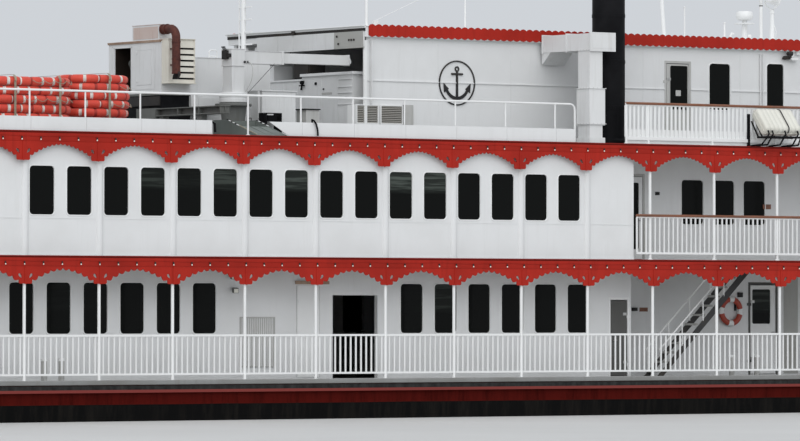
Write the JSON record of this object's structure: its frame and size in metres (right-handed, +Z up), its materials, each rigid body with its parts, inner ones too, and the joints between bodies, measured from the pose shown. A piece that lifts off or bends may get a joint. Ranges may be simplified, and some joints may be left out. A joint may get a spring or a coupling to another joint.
{
  "type": "1:2 scale model of a stern-wheel paddle steamer",
  "caption": "Three-deck stern-wheel paddle steamer at half size, with turning wheel, rudders, doors, crane and searchlight.",
  "frame": {"origin": "middle of the ship's length and breadth, on the plane of the flat hull bottom", "axes": "+X towards the bow, +Y to port, +Z up"},
  "size_m": [24.999, 5.5522, 7.5],
  "materials": {
    "white_paint": "satin white ship's paint",
    "red_paint": "satin signal red paint",
    "hull_black": "worn black hull paint over dark red",
    "gear_black": "satin black paint",
    "deck_grey": "matt grey deck paint",
    "steel_grey": "dark grey painted steel",
    "rust_brown": "rusted exhaust",
    "varnished_wood": "varnished brown handrail",
    "float_orange": "orange-red cloth cover",
    "cover_grey": "grey-green canvas",
    "raft_cream": "glazed off-white moulding",
    "window_glass": "nearly black tinted glass",
    "lamp_glass": "opal lamp",
    "rubber_black": "black rubber",
    "rope": "pale cord"
  },
  "bodies": {
    "ship": {"hull": "hull_black", "rubbing_strake": "gear_black", "main_deck": "deck_grey", "second_deck": "red_paint", "third_deck": "red_paint", "main_saloon_walls": "white_paint", "lobby_walls": "white_paint", "upper_saloon_walls": "white_paint", "promenade_walls": "white_paint", "pavilion_walls": "white_paint", "wheelhouse_walls": "white_paint", "deckhouse_roof": "white_paint", "engine": "steel_grey", "main_rail_starboard": "white_paint", "main_rail_port": "white_paint", "fore_rail_starboard": "white_paint", "fore_rail_port": "white_paint", "main_stair_starboard": "steel_grey", "main_stair_port": "steel_grey", "promenade_rail": "white_paint", "top_rail": "white_paint", "aft_rail": "white_paint", "wheel_beam_starboard": "gear_black", "wheel_beam_port": "gear_black", "funnel_starboard": "gear_black", "air_duct_starboard": "white_paint", "air_duct_port": "white_paint", "life_raft_starboard": "raft_cream", "life_raft_port": "raft_cream", "crane_base": "deck_grey", "side_ramp": "cover_grey", "generator_plinth": "steel_grey", "generator_house": "white_paint", "louvre_unit": "white_paint", "exhaust_pipe": "rust_brown", "engine_casing": "white_paint", "cooling_plant": "white_paint", "life_floats_aft": "float_orange", "life_floats_fore": "float_orange", "ladder_mast": "white_paint", "roof_mast": "white_paint", "radar": "white_paint", "searchlight_post": "white_paint", "windlass": "steel_grey"},
    "wheel": {"paddle_wheel": "red_paint"},
    "rudder_starboard": {"rudder_starboard": "gear_black"},
    "rudder_port": {"rudder_port": "gear_black"},
    "saloon_door_starboard": {"saloon_door_starboard": "white_paint"},
    "saloon_door_port": {"saloon_door_port": "white_paint"},
    "lobby_door_starboard": {"lobby_door_starboard": "white_paint"},
    "lobby_door_port": {"lobby_door_port": "white_paint"},
    "promenade_door_starboard": {"promenade_door_starboard": "white_paint"},
    "promenade_door_port": {"promenade_door_port": "white_paint"},
    "house_door_starboard": {"house_door_starboard": "white_paint"},
    "house_door_port": {"house_door_port": "white_paint"},
    "crane": {"crane_post": "white_paint"},
    "crane_inner": {"crane_extension": "white_paint"},
    "light_yoke": {"searchlight_yoke": "white_paint"},
    "light": {"searchlight": "white_paint"}
  },
  "joints": [
    {"name": "wheel_turn", "type": "hinge", "parent": "ship", "child": "wheel", "pos_m": [-11, 0, 1.5], "axis": [0, 1, 0], "continuous": true},
    {"name": "rudder_starboard_turn", "type": "hinge", "parent": "ship", "child": "rudder_starboard", "pos_m": [-9.76, -1, 0.6], "axis": [0, 0, 1], "range_deg": [-35, 35]},
    {"name": "rudder_port_turn", "type": "hinge", "parent": "ship", "child": "rudder_port", "pos_m": [-9.76, 1, 0.6], "axis": [0, 0, 1], "range_deg": [-35, 35]},
    {"name": "saloon_door_starboard_swing", "type": "hinge", "parent": "ship", "child": "saloon_door_starboard", "pos_m": [5, -2.031, 1.5], "axis": [0, 0, 1], "range_deg": [0, 110]},
    {"name": "saloon_door_port_swing", "type": "hinge", "parent": "ship", "child": "saloon_door_port", "pos_m": [5, 2.031, 1.5], "axis": [0, 0, -1], "range_deg": [0, 110]},
    {"name": "lobby_door_starboard_swing", "type": "hinge", "parent": "ship", "child": "lobby_door_starboard", "pos_m": [7.55, -1.306, 1.5], "axis": [0, 0, -1], "range_deg": [0, 110]},
    {"name": "lobby_door_port_swing", "type": "hinge", "parent": "ship", "child": "lobby_door_port", "pos_m": [7.55, 1.306, 1.5], "axis": [0, 0, 1], "range_deg": [0, 110]},
    {"name": "promenade_door_starboard_swing", "type": "hinge", "parent": "ship", "child": "promenade_door_starboard", "pos_m": [5.15, -1.706, 3], "axis": [0, 0, -1], "range_deg": [0, 110]},
    {"name": "promenade_door_port_swing", "type": "hinge", "parent": "ship", "child": "promenade_door_port", "pos_m": [5.15, 1.706, 3], "axis": [0, 0, 1], "range_deg": [0, 110]},
    {"name": "house_door_starboard_swing", "type": "hinge", "parent": "ship", "child": "house_door_starboard", "pos_m": [6.128, -1.406, 4.4], "axis": [0, 0, -1], "range_deg": [0, 110]},
    {"name": "house_door_port_swing", "type": "hinge", "parent": "ship", "child": "house_door_port", "pos_m": [6.128, 1.406, 4.4], "axis": [0, 0, 1], "range_deg": [0, 110]},
    {"name": "crane_slew", "type": "hinge", "parent": "ship", "child": "crane", "pos_m": [-0.25, -1.2, 4.31], "axis": [0, 0, -1], "range_deg": [0, 180]},
    {"name": "crane_extend", "type": "slide", "parent": "crane", "child": "crane_inner", "axis": [1, 0, 0], "range_m": [0, 0.4]},
    {"name": "light_pan", "type": "hinge", "parent": "ship", "child": "light_yoke", "pos_m": [8.405, -0.7, 5.7], "axis": [0, 0, 1], "range_deg": [-170, 170]},
    {"name": "light_tilt", "type": "hinge", "parent": "light_yoke", "child": "light", "pos_m": [8.405, -0.7, 5.85], "axis": [0, 1, 0], "range_deg": [-60, 30]}
  ],
  "couplings": [
    {"joint": "rudder_port_turn", "follows": "rudder_starboard_turn", "ratio": 1}
  ]
}
